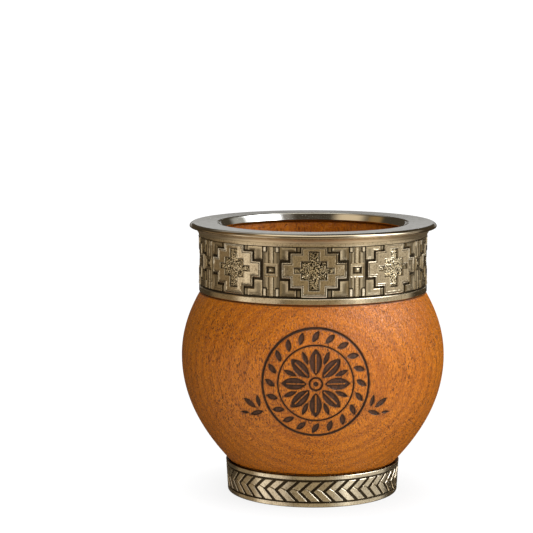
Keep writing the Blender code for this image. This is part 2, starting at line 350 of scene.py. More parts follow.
def grid_object(name, places, attributes, closed_outline=True, sharp=30.0):
    """Make a mesh of an array of points [column, row, xyz] in millimetres, closed round the axis.

    Where the outline isn't closed, its first and last rows end in points on the axis.
    attributes holds one value for each point, by name.
    """
    columns, rows, _ = places.shape
    index = np.arange(columns * rows).reshape(columns, rows)
    beside = np.roll(index, -1, axis=0)
    if closed_outline:
        above = np.roll(index, -1, axis=1)
        beside_above = np.roll(beside, -1, axis=1)
        faces = np.stack([index, beside, beside_above, above], axis=-1).reshape(-1, 4)
    else:
        corners = [index[:, :-1], beside[:, :-1], beside[:, 1:], index[:, 1:]]
        faces = np.stack(corners, axis=-1).reshape(-1, 4)
    points = places.reshape(-1, 3)
    faces = faces.tolist()
    values = {key: value.reshape(-1) for key, value in attributes.items()}
    if not closed_outline:
        for row, flip in ((0, True), (rows - 1, False)):
            centre = len(points)
            points = np.vstack([points, [[0.0, 0.0, places[0, row, 2]]]])
            values = {key: np.append(value, value[index[0, row]]) for key, value in values.items()}
            for here, there in zip(index[:, row], beside[:, row]):
                faces.append([there, here, centre] if flip else [here, there, centre])
    mesh = bpy.data.meshes.new(name)
    mesh.from_pydata((points * MM).tolist(), [], faces)
    for key, value in values.items():
        mesh.attributes.new(key, "FLOAT", "POINT").data.foreach_set("value", value.astype(np.float32))
    mesh.shade_smooth()
    mesh.set_sharp_from_angle(angle=math.radians(sharp))
    piece = bpy.data.objects.new(name, mesh)
    bpy.context.scene.collection.objects.link(piece)
    return piece


def around(turns, radii, heights):
    """Points from angles, radii and heights, which are arrays of one shape or broadcast to it."""
    turns, radii, heights = np.broadcast_arrays(turns, radii, heights)
    return np.stack([radii * np.cos(turns), radii * np.sin(turns), heights], axis=-1)


def turned_places(outline, turns):
    """The points of an outline of (radius, height) pairs spun round the axis."""
    outline = np.array(outline)
    return around(np.array(turns)[:, None], outline[None, :, 0], outline[None, :, 1])


def even_turns(count):
    """Evenly spaced angles round the axis."""
    return FRONT + np.arange(count) * math.tau / count


# Ornament

def leaf(across, along, half_length, half_width):
    """Signed distance to a leaf that points along its second coordinate."""
    radius = (half_length ** 2 + half_width ** 2) / (2.0 * half_width)
    offset = radius - half_width
    right = np.hypot(across - offset, along) - radius
    left = np.hypot(across + offset, along) - radius
    return np.maximum(right, left)


def repeated(across, up, count, shift=0.0):
    """Fold the plane into one sector of a rosette: gives (across, outward) in the sector."""
    distance = np.hypot(across, up)
    sector = math.tau / count
    turn = np.arctan2(across, up) + shift * sector
    turn = (turn + sector / 2) % sector - sector / 2
    return distance * np.sin(turn), distance * np.cos(turn)


def leaning_leaf(across, up, lean, half_length, half_width):
    """Signed distance to a leaf that is turned by lean, in radians."""
    turned_across = across * math.cos(lean) - up * math.sin(lean)
    turned_up = across * math.sin(lean) + up * math.cos(lean)
    return leaf(turned_across, turned_up, half_length, half_width)


def ornament_distance(across, up):
    """Signed distance to the engraved rosette: below 0 where the wood is cut away."""
    distance = np.hypot(across, up)
    shapes = [np.abs(distance - radius) - half for radius, half in ORNAMENT_CIRCLES]
    shapes.append(distance - ORNAMENT_EYE)

    count, middle, half_length, half_width = PETALS
    side, out = repeated(across, up, count)
    petal = leaf(side, out - middle, half_length, half_width)
    vein_half, vein_middle, vein_length = PETAL_VEIN
    vein = np.maximum(np.abs(side) - vein_half, np.abs(out - vein_middle) - vein_length)
    shapes.append(np.maximum(petal, -vein))

    count, middle, half_length, half_width = SMALL_PETALS
    side, out = repeated(across, up, count, 0.5)
    shapes.append(leaf(side, out - middle, half_length, half_width))

    count, middle, half_length, half_width = WREATH
    side, out = repeated(across, up, count)
    shapes.append(leaning_leaf(side, out - middle, WREATH_LEAN, half_length, half_width))

    aside = np.abs(across)
    for place, height, lean, length in SPRIG:
        shapes.append(leaning_leaf(aside - place, up - height, lean, length, SPRIG_WIDTH * length))
    return np.min(np.stack(shapes), axis=0)


# Wooden body

def body_radius(height):
    """Radius of the wood's outside between the foot ring and the collar."""
    below = np.clip((BELLY_HEIGHT - height) / (BELLY_HEIGHT - BODY_FOOT_HEIGHT), 0.0, None)
    above = np.clip((height - BELLY_HEIGHT) / (BODY_NECK_HEIGHT - BELLY_HEIGHT), 0.0, None)
    loss = (BELLY_RADIUS - BODY_FOOT_RADIUS) * below ** LOWER_ROUNDNESS
    return BELLY_RADIUS - loss - (BELLY_RADIUS - BODY_NECK_RADIUS) * above ** UPPER_ROUNDNESS


def body_heights():
    """Rows of the wood's outside, close together where the ornament is."""
    low = ORNAMENT_HEIGHT - ORNAMENT_RADIUS
    high = ORNAMENT_HEIGHT + ORNAMENT_RADIUS
    fine = int((high - low) / ORNAMENT_STEP)
    bottom = BODY_FOOT_HEIGHT + SEAM_SHADE_HEIGHT
    top = BODY_NECK_HEIGHT - SEAM_SHADE_HEIGHT
    lower = spread(BODY_FOOT_HEIGHT, bottom, SEAM_ROWS)[:-1] + spread(bottom, low, LOWER_ROWS)[:-1]
    upper = spread(high, top, UPPER_ROWS)[1:] + spread(top, BODY_NECK_HEIGHT, SEAM_ROWS)[1:]
    return lower + spread(low, high, fine) + upper


def body_turns():
    """Columns of the wood, close together where the ornament is."""
    half = ORNAMENT_HALF_WIDTH / BELLY_RADIUS
    fine = int(2 * half * BELLY_RADIUS / ORNAMENT_STEP)
    coarse = int((math.tau - 2 * half) / BODY_STEP)
    turns = spread(-half, half, fine) + spread(half, math.tau - half, coarse)[1:-1]
    return FRONT + np.array(turns)


def cavity_outline():
    """The hollow, from the mouth down to just off the axis."""
    top = WOOD_HIGH.z / MM
    outline = arc((MOUTH_RADIUS + MOUTH_EDGE, top - MOUTH_EDGE), (MOUTH_EDGE, MOUTH_EDGE), 90, 180, 5)
    outline += [(MOUTH_RADIUS, height) for height in spread(top - MOUTH_EDGE, CAVITY_NECK_HEIGHT, 6)[1:]]
    for share in spread(1.0, 0.0, 14)[1:-1]:
        height = BELLY_HEIGHT + share * (CAVITY_NECK_HEIGHT - BELLY_HEIGHT)
        swell = 0.5 + 0.5 * math.cos(share * math.pi)
        outline.append((MOUTH_RADIUS + (CAVITY_BELLY_RADIUS - MOUTH_RADIUS) * swell, height))
    depth = BELLY_HEIGHT - CAVITY_FLOOR_HEIGHT
    for turn in spread(0.0, 89.0, 24):
        across = math.cos(math.radians(turn)) ** (2.0 / CAVITY_ROUNDNESS)
        down = math.sin(math.radians(turn)) ** (2.0 / CAVITY_ROUNDNESS)
        outline.append((CAVITY_BELLY_RADIUS * across, BELLY_HEIGHT - depth * down))
    return outline


def make_wood():
    """The turned and hollowed wood, with the ornament cut into its front."""
    bottom = WOOD_LOW.z / MM
    top = WOOD_HIGH.z / MM
    underside = [
        (UNDERSIDE_START, bottom),
        (PLUG_RADIUS - PLUG_ROUND, bottom),
        (PLUG_RADIUS, bottom + PLUG_ROUND),
        (PLUG_RADIUS, BODY_FOOT_HEIGHT),
    ]
    outside = [(float(body_radius(height)), height) for height in body_heights()]
    shoulder = [(NECK_RADIUS, BODY_NECK_HEIGHT), (NECK_RADIUS, top)]
    outline = underside + outside + shoulder + cavity_outline()
    turns = body_turns()
    places = turned_places(outline, turns)
    across = (turns[:, None] - FRONT) * np.array(outline)[None, :, 0]
    up = places[:, :, 2] - ORNAMENT_HEIGHT
    rows = np.arange(len(outline))[None, :]
    on_outside = (rows >= len(underside)) & (rows < len(underside) + len(outside))
    on_front = np.cos(turns - FRONT)[:, None] > 0.0
    distance = np.where(on_outside & on_front, ornament_distance(across, up), ORNAMENT_RADIUS)
    cut = 1.0 - smooth_step(-ENGRAVING_SLOPE, 0.0, distance)
    burn = 1.0 - smooth_step(*BURN_LIMITS, distance)
    edge = np.exp(-(np.abs(distance - BURN_EDGE) / BURN_EDGE_WIDTH) ** 2)
    scorch = np.exp(-np.clip(distance, 0.0, None) / SCORCH_REACH) * (distance < SCORCH_END)
    radial = np.stack([np.cos(turns), np.sin(turns), np.zeros(len(turns))], axis=-1)[:, None, :]
    places = places - radial * (cut * ENGRAVING_DEPTH)[:, :, None]
    heights = np.array(outline)[:, 1]
    # Painted shade along the seams against the foot ring and the collar
    seam_shade = 1.0 - smooth_step(SEAM_SHADE_CORE, SEAM_SHADE_HEIGHT, heights - BODY_FOOT_HEIGHT)
    neck_seam_shade = smooth_step(-NECK_SEAM_SHADE_HEIGHT, -SEAM_SHADE_CORE, heights - BODY_NECK_HEIGHT)
    seam_shade = seam_shade + NECK_SEAM_SHADE_SHARE * neck_seam_shade
    seam_shade = np.where(on_outside[0], seam_shade, 0.0)
    hollow = np.where(rows[0] >= len(outline) - len(cavity_outline()), 1.0, 0.0)
    marks = {"burn": burn, "burn_edge": edge, "scorch": scorch}
    marks["seam_shade"] = np.broadcast_to(seam_shade, distance.shape)
    marks["hollow"] = np.broadcast_to(hollow, distance.shape)
    return grid_object("wood_carved", places, marks, closed_outline=False)


# Rim ring

def make_rim():
    """The flat ring on the mouth: a funnel inside, a rolled lip outside and a hollow flare under it."""
    top = RIM_HIGH.z / MM
    bottom = RIM_LOW.z / MM
    throat_round = (RIM_THROAT_ROUND, RIM_THROAT_ROUND)
    inner_round = (RIM_INNER_ROUND, RIM_INNER_ROUND)
    roll = (RIM_ROLL, RIM_ROLL)
    outline = [(RIM_THROAT_RADIUS + RIM_THROAT_ROUND, bottom)]
    throat_centre = (RIM_THROAT_RADIUS + RIM_THROAT_ROUND, bottom + RIM_THROAT_ROUND)
    outline += arc(throat_centre, throat_round, 260, 190, 4)
    wall_top = top - RIM_INNER_ROUND - RIM_DISH
    funnel_start = (RIM_THROAT_RADIUS, bottom + RIM_FUNNEL_START)
    outline += spread_points(funnel_start, (RIM_INNER_RADIUS - RIM_FUNNEL_GAP, wall_top), 5)
    outline += arc((RIM_INNER_RADIUS + RIM_INNER_ROUND, wall_top), inner_round, 170, 92, 8)
    flat_end = (RIM_LIP_RADIUS - RIM_NOSE[0][0] - RIM_DISH_END[0], top - RIM_DISH_END[1])
    outline += spread_points((RIM_INNER_RADIUS + RIM_DISH_START, top - RIM_DISH), flat_end, 10)
    outline += [(RIM_LIP_RADIUS - inside, top - depth) for inside, depth in RIM_NOSE]
    outline += arc((RIM_LIP_RADIUS - RIM_ROLL, top - RIM_ROLL_DEPTH), roll, 0, -78, 6)
    outline += RIM_FLARE
    places = turned_places(outline, even_turns(ROUND_SEGMENTS))
    satin = np.zeros(places.shape[:2])
    satin[:, -len(RIM_FLARE):] = 1.0
    return grid_object("rim_polished", places, {"satin": satin})


# Collar

def inset_of_steps(steps, side, up):
    """How far a point is inside a stepped cross; below 0 outside."""
    return np.max(np.stack([np.minimum(width - side, height - up) for width, height in steps]), axis=0)


def inset_of_box(side, up, left, right, low, high):
    return np.minimum(np.minimum(side - left, right - side), np.minimum(up - low, high - up))


def relief_level(across, up):
    """Height of the collar's relief over the collar's plain surface, in one motif's field."""
    side = np.abs(across)
    up = np.abs(up)
    gap = HALF_PITCH - side
    level = np.full(side.shape, GROUND_LEVEL)

    def stamp(inset, section):
        places, levels = section
        level[:] = np.where(inset > places[0], np.interp(inset, places, levels), level)

    low_edge, inner_edge, outer_edge = CORNER_EDGES
    low_height, mid_height, high_height = CORNER_HEIGHTS
    upright = inset_of_box(side, up, inner_edge, outer_edge, low_height, high_height)
    lying = inset_of_box(side, up, low_edge, outer_edge, mid_height, high_height)
    stamp(inset_of_box(side, up, *NUB_EDGES, mid_height, high_height), NUB_SECTION)
    stamp(np.maximum(upright, lying), CORNER_SECTION)
    stamp(inset_of_steps(((STRIP_FIELD, high_height),), gap, up), FIELD_SECTION)
    stamp(inset_of_box(gap, up, *SIDE_STRIP, 0.0, STRIP_END), SIDE_SECTION)
    stamp(inset_of_steps(((STRIP_EDGE, high_height),), gap, up), STRIP_SECTION)
    stamp(inset_of_box(gap, up, *BLOCK_EDGES, *BLOCK_HEIGHTS), BLOCK_SECTION)
    stamp(inset_of_steps((STUD_FRAME,), gap, up), FRAME_SECTION)
    stamp(inset_of_steps((STUD_HOLE,), gap, up), HOLE_SECTION)
    slope = np.minimum(1.0 - gap / STUD_SIZE[0], 1.0 - up / STUD_SIZE[1])
    level[:] = np.where(slope > 0.0, STUD_LEVEL + STUD_RISE * slope, level)
    stamp(inset_of_steps(PLATE_STEPS, side, up), PLATE_SECTION)
    stamp(inset_of_steps(CROSS_STEPS, side, up), CROSS_SECTION)
    return level


def merged(lines, least=0.05):
    """Sorted values without any that lie closer together than least."""
    kept = []
    for line in sorted(lines):
        if not kept or line - kept[-1] > least:
            kept.append(line)
    return kept


def relief_lines(axis):
    """Grid lines of one quarter of a motif, along its width (axis 0) or height (axis 1)."""
    lines = []
    for steps, section in ((PLATE_STEPS, PLATE_SECTION), (CROSS_STEPS, CROSS_SECTION)):
        lines += [step[axis] - inset for step in steps for inset in section[0]]
    from_gap = [STUD_SIZE[axis]]
    from_gap += [STUD_HOLE[axis] - inset for inset in HOLE_SECTION[0]]
    from_gap += [STUD_FRAME[axis] - inset for inset in FRAME_SECTION[0]]
    if axis == 0:
        limit = HALF_PITCH
        low_edge, inner_edge, outer_edge = CORNER_EDGES
        lines += [edge + inset for edge in (low_edge, inner_edge) for inset in CORNER_SECTION[0]]
        lines += [outer_edge - inset for inset in CORNER_SECTION[0]]
        lines += [NUB_EDGES[0] + inset for inset in NUB_SECTION[0]]
        from_gap += [STRIP_EDGE - inset for inset in STRIP_SECTION[0]]
        from_gap += [STRIP_FIELD - inset for inset in FIELD_SECTION[0]]
        for (start, end), (insets, _) in ((SIDE_STRIP, SIDE_SECTION), (BLOCK_EDGES, BLOCK_SECTION)):
            from_gap += [start + inset for inset in insets] + [end - inset for inset in insets]
        lines += [HALF_PITCH - line for line in from_gap]
    else:
        limit = ZONE_HALF_HEIGHT
        low_height, mid_height, high_height = CORNER_HEIGHTS
        lines += [height + inset for height in (low_height, mid_height) for inset in CORNER_SECTION[0]]
        lines += [high_height - inset for inset in CORNER_SECTION[0]]
        lines += [STRIP_END - inset for inset in SIDE_SECTION[0]]
        lines += [BLOCK_HEIGHTS[0] + inset for inset in BLOCK_SECTION[0]]
        lines += from_gap
    reach = max(step[axis] for step in CROSS_STEPS)
    grain = np.arange(GRAIN_STEP, reach, GRAIN_STEP)
    lines = merged([line for line in lines if 0.02 < line < limit - 0.03], 0.07)
    loose = [line for line in grain if min(abs(line - other) for other in lines) > GRAIN_STEP * 0.45]
    return sorted([0.0, *lines, *loose]) + [limit]


def stretched(height, reach):
    """Where a drawn height comes to lie, as a distance from the motif's centre."""
    slope = (reach - STRETCH_START) / (DRAWN_REACH - STRETCH_START)
    return np.where(height > STRETCH_START, STRETCH_START + (height - STRETCH_START) * slope, height)


def collar_rows():
    """Rows of the relief, as drawn and as heights over the motif's centre, from the lowest up."""
    half = relief_lines(1)
    drawn = np.array([-line for line in reversed(half[1:])] + half)
    below = -stretched(-drawn, LOWER_REACH)
    return drawn, np.where(drawn < 0.0, below, stretched(drawn, UPPER_REACH))


def collar_columns():
    """(angle, across) of the columns: across is measured from the nearest motif's centre."""
    half = relief_lines(0)
    tile = [-line for line in reversed(half[1:-1])] + half
    turns = []
    across = []
    for motif in range(MOTIF_COUNT):
        for line in tile:
            turns.append((motif + 0.5 * line / HALF_PITCH) * math.tau / MOTIF_COUNT)
            across.append(line)
    return np.array(turns), np.array(across)


def make_collar():
    """The collar: a relief of stepped crosses between a plain border and a hollow flare."""
    bottom = COLLAR_LOW.z / MM
    top = COLLAR_HIGH.z / MM
    turns, across = collar_columns()
    drawn, rows = collar_rows()
    level = relief_level(*np.broadcast_arrays(across[:, None], drawn[None, :]))
    side, up = np.broadcast_arrays(np.abs(across)[:, None], np.abs(drawn)[None, :])
    in_cross = inset_of_steps(CROSS_STEPS, side, up) > GRAIN_INSET
    random = np.random.default_rng(7)
    grain = random.uniform(0.0, GRAIN_HEIGHT, level.shape)
    level = level + random.normal(0.0, UNEVENNESS, level.shape) + np.where(in_cross, grain, 0.0)
    level[:, 0] = level[:, -1] = -BORDER_GROOVE[0]
    sway_across = random.normal(0.0, UNEVENNESS, level.shape)
    sway_up = random.normal(0.0, UNEVENNESS, level.shape)
    # Painted shade: the deeper the relief lies, the darker it is
    dark = np.clip(-level / FULL_SHADE_DEPTH, 0.0, 1.0)
    # The raised edges' brightness is wear and painted highlight: stronger on some stretches of the
    # collar than on others, and on other ones above than below
    wear_highlight_share = 0.6 + 0.4 * np.cos(3.0 * turns[:, None] + 1.0 + 1.5 * np.sign(drawn)[None, :])
    wear_highlight = wear_highlight_share * np.clip((level - COLLAR_WEAR_HIGHLIGHT_LEVEL) / COLLAR_WEAR_HIGHLIGHT_RISE, 0.0, 1.0)
    wear_highlight = np.where(in_cross, 0.0, wear_highlight)
    rough = np.where(in_cross, 1.0, 0.0)

    under = [
        (COLLAR_INNER_RADIUS, bottom),
        (COLLAR_RADIUS - COLLAR_EDGE, bottom),
        (COLLAR_RADIUS, bottom + COLLAR_EDGE),
        (COLLAR_RADIUS, bottom + COLLAR_EDGE_END),
        (COLLAR_RADIUS, ZONE_BOTTOM - BORDER_EDGE[1]),
        (COLLAR_RADIUS - BORDER_EDGE[0], ZONE_BOTTOM),
        (COLLAR_RADIUS - BORDER_GROOVE[0], ZONE_BOTTOM + BORDER_GROOVE[1]),
    ]
    zone_top = MOTIF_CENTRE + rows[-1] + ZONE_TOP_GAP
    over = [(COLLAR_RADIUS, zone_top), *COLLAR_FLARE, (COLLAR_INNER_RADIUS, top)]

    moved = FRONT + COLLAR_TURN + (turns - CROWDING * np.sin(turns))
    lower = turned_places(under, moved)
    upper = turned_places(over, moved)
    middle_turns = moved[:, None] + sway_across / COLLAR_RADIUS
    middle = around(middle_turns, COLLAR_RADIUS + level, MOTIF_CENTRE + rows[None, :] + sway_up)
    places = np.concatenate([lower, middle, upper], axis=1)
    marks = {}
    for key, values in (("depth", dark), ("wear_highlight", wear_highlight), ("rough", rough)):
        marks[key] = np.zeros(places.shape[:2])
        marks[key][:, len(under):len(under) + len(rows)] = values
    # Painted shade in the groove over the border
    marks["depth"][:, len(under) - 1] = 1.0
    # Painted highlight and wear on the border's upper edge
    marks["wear_highlight"][:, len(under) - 2] = BORDER_WEAR_HIGHLIGHT * wear_highlight_share[:, 0]
    marks["satin"] = np.zeros(places.shape[:2])
    marks["satin"][:, len(under) + len(rows) + 1:] = 1.0
    return grid_object("collar_embossed", places, marks, sharp=24.0)


# Foot ring

def foot_radius(height):
    """Radius of the foot ring's outside, which narrows downwards."""
    return FOOT_TOP_RADIUS - FOOT_TAPER * (FOOT_HIGH.z / MM - height)


def make_foot():
    """The foot ring: raised chevron blocks between dark grooves, with a plain border on each side."""
    top = FOOT_HIGH.z / MM - FOOT_TOP_DROP
    pitch = math.tau * FOOT_TOP_RADIUS / CHEVRON_COUNT
    middle = CHEVRON_APEX
    half_columns = [GROOVE_FLOOR_HALF, GROOVE_HALF, BEVEL_HALF, BEVEL_END]
    block = spread(BEVEL_END, pitch - BEVEL_END, 3)[1:-1]
    columns = half_columns + block + [pitch - column for column in reversed(half_columns)]
    grooves = [chevron * pitch for chevron in range(CHEVRON_COUNT)]
    along = np.array([groove + column for groove in grooves for column in columns])
    local = np.array(columns * CHEVRON_COUNT)
    share = np.clip((local - GROOVE_HALF) / (pitch - 2 * GROOVE_HALF), 0.0, 1.0)
    joint = middle + JOINT_START + JOINT_RISE * (1.0 - share)
    in_block = np.minimum(local, pitch - local)
    block_level = np.interp(in_block, half_columns[:3], GROOVE_LEVELS)

    def row(height, level):
        """Heights and levels of one row, for all columns."""
        return np.broadcast_to(height, along.shape), np.broadcast_to(level, along.shape)

    low = FOOT_LOWER_BORDER
    high = FOOT_UPPER_BORDER
    shallow = np.minimum(block_level, GROOVE_LEVELS[1])
    groove = np.minimum(block_level, BORDER_GROOVE_LEVEL)
    joint_level = np.minimum(block_level, JOINT_LEVEL - JOINT_FALL * share)
    zone = [
        row(low, 0.0),
        row(low + LOWER_GROOVE[0], groove),
        row(low + LOWER_GROOVE[1], groove),
        row(low + LOWER_GROOVE[2], shallow),
        row(low + LOWER_GROOVE[3], block_level),
        row((low + middle) / 2, block_level),
        row(middle, block_level),
        (joint - JOINT_WIDTH / 2, block_level),
        (joint, joint_level),
        (joint + JOINT_WIDTH / 2, block_level),
        row(high - BLOCK_END, block_level),
        row(high - UPPER_GROOVE[3], block_level),
        row(high - UPPER_GROOVE[2], shallow),
        row(high - UPPER_GROOVE[1], groove),
        row(high - UPPER_GROOVE[0], groove),
        row(high, 0.0),
    ]
    heights = np.stack([height for height, _ in zone], axis=1)
    levels = np.stack([level for _, level in zone], axis=1)
    upper_share = (heights - middle) / (FOOT_UPPER_BORDER - middle)
    lower_share = (middle - heights) / (middle - FOOT_LOWER_BORDER)
    lean = np.where(heights > middle, CHEVRON_UPPER_LEAN * upper_share, CHEVRON_LOWER_LEAN * lower_share)
    start = FRONT + FOOT_TURN
    zone_turns = start + (along[:, None] + lean) / FOOT_TOP_RADIUS
    zone_places = around(zone_turns, foot_radius(heights) + levels, heights)

    round_centre = (foot_radius(FOOT_EDGE_ROUND) - FOOT_EDGE_ROUND, FOOT_EDGE_ROUND)
    under = [(FOOT_FLANGE_RADIUS + FOOT_FLANGE_EDGE, 0.0), (FOOT_SOLE_RADIUS, 0.0)]
    under += arc(round_centre, (FOOT_EDGE_ROUND, FOOT_EDGE_ROUND), -88, 0, 6)
    edge = FOOT_TOP_EDGE
    over = [(foot_radius(FOOT_BAND_HEIGHT), FOOT_BAND_HEIGHT), (FOOT_TOP_RADIUS, top - edge)]
    over += arc((FOOT_TOP_RADIUS - edge, top - edge), (edge, edge), 20, 90, 3)
    ledge = len(over)
    over += [
        (FOOT_TOP_RADIUS - FOOT_LEDGE, top),
        (FOOT_INNER_RADIUS, top),
        (FOOT_INNER_RADIUS, FOOT_FLANGE_THICKNESS),
        (FOOT_FLANGE_RADIUS, FOOT_FLANGE_THICKNESS),
        (FOOT_FLANGE_RADIUS, FOOT_FLANGE_EDGE),
    ]
    lower = turned_places(under, start + (along + CHEVRON_LOWER_LEAN) / FOOT_TOP_RADIUS)
    upper = turned_places(over, start + (along + CHEVRON_UPPER_LEAN) / FOOT_TOP_RADIUS)
    places = np.concatenate([lower, zone_places, upper], axis=1)
    # Painted highlights on the block edges that face up: left ones above the apex, right ones below it
    at_left = (local > GROOVE_FLOOR_HALF) & (local < BEVEL_END)
    at_right = (local < pitch - GROOVE_FLOOR_HALF) & (local > pitch - BEVEL_END)
    above_joint = heights > joint[:, None]
    painted_highlight_edges = np.where(above_joint, at_left[:, None], at_right[:, None]) & (levels > HIGHLIGHT_LEVEL)
    painted_highlight_edges = painted_highlight_edges & (heights > low + HIGHLIGHT_MARGIN) & (heights < high - HIGHLIGHT_MARGIN)
    depth = np.zeros(places.shape[:2])
    wear_highlight = np.zeros(places.shape[:2])
    zone_end = len(under) + len(zone)
    # Painted shade: darker the deeper a place sinks, full on the ring's inside and nearly full on the
    # ledge beside the wood
    depth[:, len(under):zone_end] = np.clip((-levels - SHADE_START_DEPTH) / SHADE_DEPTH_REACH, 0.0, 1.0)
    wear_highlight[:, len(under):zone_end] = painted_highlight_edges * np.where(above_joint, UPPER_HIGHLIGHT, LOWER_HIGHLIGHT)
    depth[:, zone_end + ledge:] = 1.0
    depth[:, zone_end + ledge - 2:zone_end + ledge] = LEDGE_SHADE
    return grid_object("foot_engraved", places, {"depth": depth, "wear_highlight": wear_highlight}, sharp=12.0)


# Materials

class Nodes:
    """A node tree, with short ways to add nodes and join them."""

    def __init__(self, tree):
        self.tree = tree

    def add(self, kind, settings=None, **inputs):
        """Add a node; settings are its properties, and inputs its sockets by name."""
        node = self.tree.nodes.new("ShaderNode" + kind)
        for key, value in (settings or {}).items():
            setattr(node, key, value)
        for key, value in inputs.items():
            self.put(node, key.replace("_", " "), value)
        return node

    def put(self, node, key, value):
        """Join a socket to value, or set it where value isn't a socket."""
        socket = node.inputs[key]
        if isinstance(value, bpy.types.NodeSocket):
            self.tree.links.new(value, socket)
        elif isinstance(value, tuple) and len(value) == 3 and socket.type == "RGBA":
            socket.default_value = (*value, 1.0)
        else:
            socket.default_value = value

    def combined(self, kind, settings, *values):
        """Add a node and put values into its first sockets, in order."""
        node = self.add(kind, settings)
        for place, value in enumerate(values):
            self.put(node, place, value)
        return node

    def math(self, operation, *values):
        return self.combined("Math", {"operation": operation}, *values).outputs["Value"]


class Look(Nodes):
    """A material and its nodes."""

    def __init__(self, name):
        self.material = bpy.data.materials.new(name)
        self.material.use_nodes = True
        super().__init__(self.material.node_tree)
        self.shader = self.tree.nodes["Principled BSDF"]

    def place(self, scale=(1.0, 1.0, 1.0)):
        """The piece's own coordinates in metres, stretched."""
        coordinates = self.add("TexCoord").outputs["Object"]
        return self.add("Mapping", Vector=coordinates, Scale=scale).outputs["Vector"]

    def noise(self, scale, detail=3.0, stretch=(1.0, 1.0, 1.0), roughness=0.5):
        place = self.place(stretch)
        node = self.add("TexNoise", Vector=place, Scale=scale, Detail=detail, Roughness=roughness)
        return node.outputs["Fac"]

    def between(self, value, low, high, new_low=0.0, new_high=1.0):
        """Map the range from low to high onto the new one, clamped to its ends."""
        limits = {"From_Min": low, "From_Max": high, "To_Min": new_low, "To_Max": new_high}
        return self.add("MapRange", {"clamp": True}, Value=value, **limits).outputs["Result"]

    def mix(self, share, first, second):
        node = self.add("Mix", {"data_type": "RGBA"})
        for place, value in ((0, share), (6, first), (7, second)):
            self.put(node, place, value)
        return node.outputs[2]

    def attribute(self, name):
        return self.add("Attribute", {"attribute_name": name}).outputs["Fac"]

    def bump(self, height, strength, distance):
        return self.add("Bump", Height=height, Strength=strength, Distance=distance).outputs["Normal"]


def wood_material():
    """Oiled wood with rings, fibres, flecks and pores, and the char of the ornament."""
    n = Look("wood_satin")
    light = (0.64, 0.195, 0.006)
    mid = (0.53, 0.143, 0.004)
    dark = (0.24, 0.052, 0.004)
    colour = n.mix(n.between(n.noise(38.0, 3.0), 0.32, 0.68), mid, light)
    mottle = n.between(n.noise(420.0, 4.0, (1.0, 1.0, 0.6)), 0.35, 0.7)
    colour = n.mix(n.math("MULTIPLY", mottle, 0.16), colour, dark)

    bend = n.add("TexNoise", Vector=n.place(), Scale=42.0, Detail=2.0).outputs["Color"]
    middle = n.add("Mapping", Vector=n.place(), Location=RING_AXIS).outputs["Vector"]
    bent = n.combined("VectorMath", {"operation": "MULTIPLY_ADD"}, bend, (0.0035, 0.0035, 0.0), middle)
    rings = n.add(
        "TexWave",
        {"wave_type": "RINGS", "rings_direction": "Z", "wave_profile": "SIN"},
        Vector=bent.outputs["Vector"], Scale=RING_SCALE, Distortion=0.4, Detail=2.0,
    ).outputs["Fac"]
    ring_share = n.math("MULTIPLY", n.between(rings, 0.3, 1.0), 0.42)
    colour = n.mix(ring_share, colour, dark)

    fibre = n.between(n.noise(2000.0, 2.0, (1.0, 1.0, 0.14)), 0.42, 0.62)
    colour = n.mix(n.math("MULTIPLY", fibre, 0.26), colour, dark)
    flecks = n.between(n.noise(2700.0, 2.0, (1.0, 1.0, 0.6)), 0.5, 0.66)
    colour = n.mix(n.math("MULTIPLY", flecks, 0.42), colour, (0.84, 0.3, 0.01))
    grit = n.between(n.noise(2600.0, 2.0, (1.0, 1.0, 0.4), 0.6), 0.5, 0.62)
    colour = n.mix(n.math("MULTIPLY", grit, 0.6), colour, dark)
    pores = n.between(n.noise(2300.0, 1.0, (1.0, 1.0, 0.35)), 0.58, 0.64)
    patches = n.between(n.noise(90.0, 2.0), 0.38, 0.66)
    pores = n.math("MULTIPLY", pores, n.math("ADD", n.math("MULTIPLY", patches, 0.5), 0.45))
    colour = n.mix(pores, colour, (0.1, 0.024, 0.004))

    colour = n.mix(n.math("MULTIPLY", n.attribute("hollow"), 0.45), colour, (0.12, 0.024, 0.0))
    # Painted shade in the seams next to the metal
    colour = n.mix(n.attribute("seam_shade"), colour, (0.016, 0.008, 0.005))

    colour = n.mix(n.math("MULTIPLY", n.attribute("scorch"), 0.35), colour, (0.1, 0.03, 0.008))
    streaks = n.between(n.noise(1400.0, 3.0, (1.0, 1.0, 0.15)), 0.35, 0.65)
    char = n.mix(streaks, (0.034, 0.013, 0.006), (0.085, 0.03, 0.012))
    char = n.mix(n.attribute("burn_edge"), char, (0.008, 0.005, 0.004))
    colour = n.mix(n.attribute("burn"), colour, char)
    n.put(n.shader, "Base Color", colour)
    sheen = n.between(n.noise(900.0, 2.0), 0.3, 0.7, 0.26, 0.4)
    burnt_rough = n.math("MULTIPLY", n.attribute("burn"), 0.3)
    n.put(n.shader, "Roughness", n.math("ADD", sheen, burnt_rough))
    height = n.math("SUBTRACT", n.math("MULTIPLY", n.math("ADD", fibre, flecks), 0.35), pores)
    n.put(n.shader, "Normal", n.bump(height, 0.8, 0.00022))
    n.shader.inputs["Specular IOR Level"].default_value = 0.6
    return n.material


